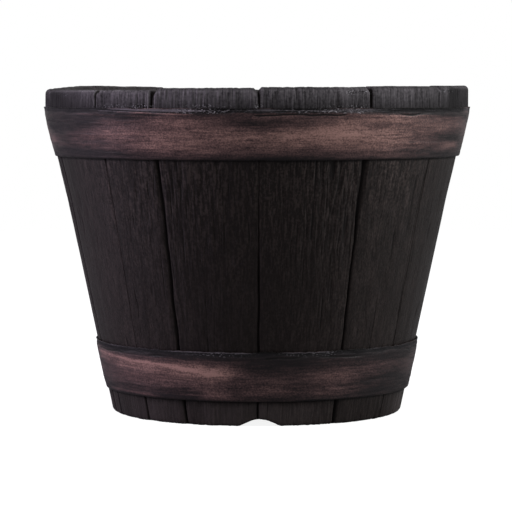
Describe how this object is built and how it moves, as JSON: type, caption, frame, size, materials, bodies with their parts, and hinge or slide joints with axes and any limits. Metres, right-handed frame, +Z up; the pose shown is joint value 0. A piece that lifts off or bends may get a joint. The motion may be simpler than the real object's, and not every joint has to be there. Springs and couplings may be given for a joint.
{
  "type": "barrel planter",
  "caption": "Low tapered tub planter of dark stained staves with a flared mouth, an upright rim, riveted copper-rubbed hoops, drain notches in the foot and drain holes in its head.",
  "frame": {"origin": "on the ground under the tub's axis, at the centre of the foot", "axes": "+Z up, -Y towards the viewer of the front, +X to the viewer's right"},
  "size_m": [0.3912, 0.3912, 0.2982],
  "materials": {
    "stave_wood": "dark walnut stain, satin, open grain",
    "head_wood": "dark stain, matte",
    "dowel_wood": "bare wood",
    "hoop_paint": "near-black paint dry-brushed with copper",
    "rivet_paint": "near-black paint rubbed with copper"
  },
  "bodies": {
    "root": {"stave_01": "stave_wood", "stave_02": "stave_wood", "stave_03": "stave_wood", "stave_04": "stave_wood", "stave_05": "stave_wood", "stave_06": "stave_wood", "stave_07": "stave_wood", "stave_08": "stave_wood", "stave_09": "stave_wood", "stave_10": "stave_wood", "stave_11": "stave_wood", "stave_12": "stave_wood", "stave_13": "stave_wood", "head_board_1": "head_wood", "head_board_2": "head_wood", "head_board_3": "head_wood", "head_board_4": "head_wood", "head_board_5": "head_wood", "head_dowels": "dowel_wood", "upper_hoop": "hoop_paint", "lower_hoop": "hoop_paint", "upper_hoop_rivets": "rivet_paint", "lower_hoop_rivets": "rivet_paint"}
  },
  "joints": []
}
